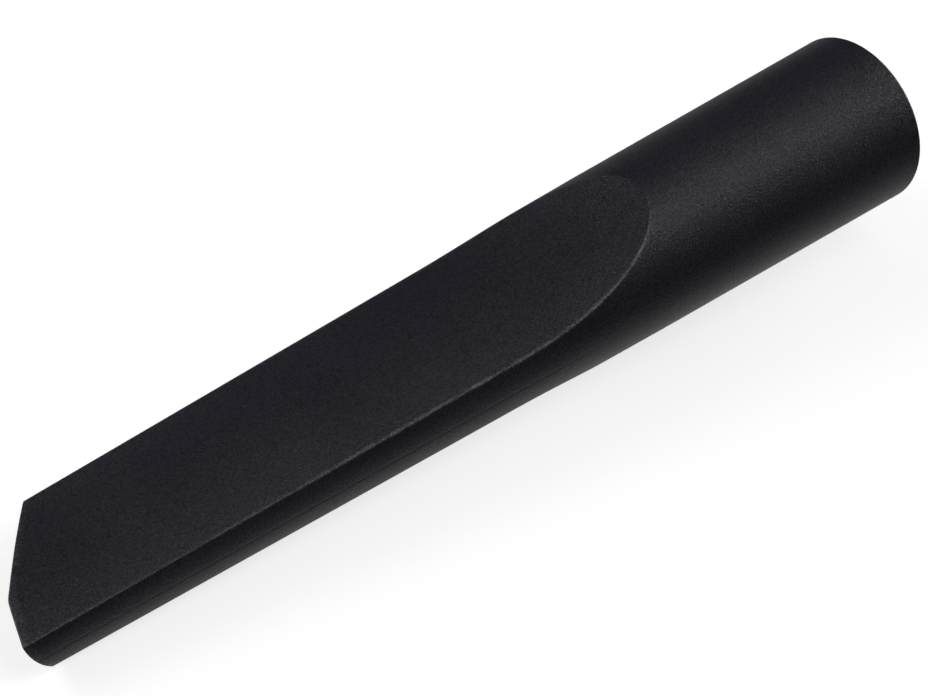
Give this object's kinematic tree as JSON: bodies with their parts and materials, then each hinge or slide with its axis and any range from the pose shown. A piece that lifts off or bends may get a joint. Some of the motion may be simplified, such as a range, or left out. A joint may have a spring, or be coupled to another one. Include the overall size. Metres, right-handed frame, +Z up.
{
  "type": "vacuum crevice tool",
  "caption": "Vacuum crevice tool moulded in black plastic: a round push-fit socket scooped down to a flattened, slightly crowned, tapering hollow blade with a slanted, raked suction mouth.",
  "frame": {"origin": "centre of the footprint box, on the table the tool lies on", "axes": "+X along the tool from the socket to the tip, +Z up; the tool lies as it comes to rest, so the bore axis drops 3.97 degrees towards the tip and the blade is rolled 2.4 degrees"},
  "size_m": [0.2482, 0.036, 0.0403],
  "materials": {
    "black_plastic": "fine spark-eroded grain, satin"
  },
  "bodies": {
    "root": {"crevice_tool_body": "black_plastic"}
  },
  "joints": []
}
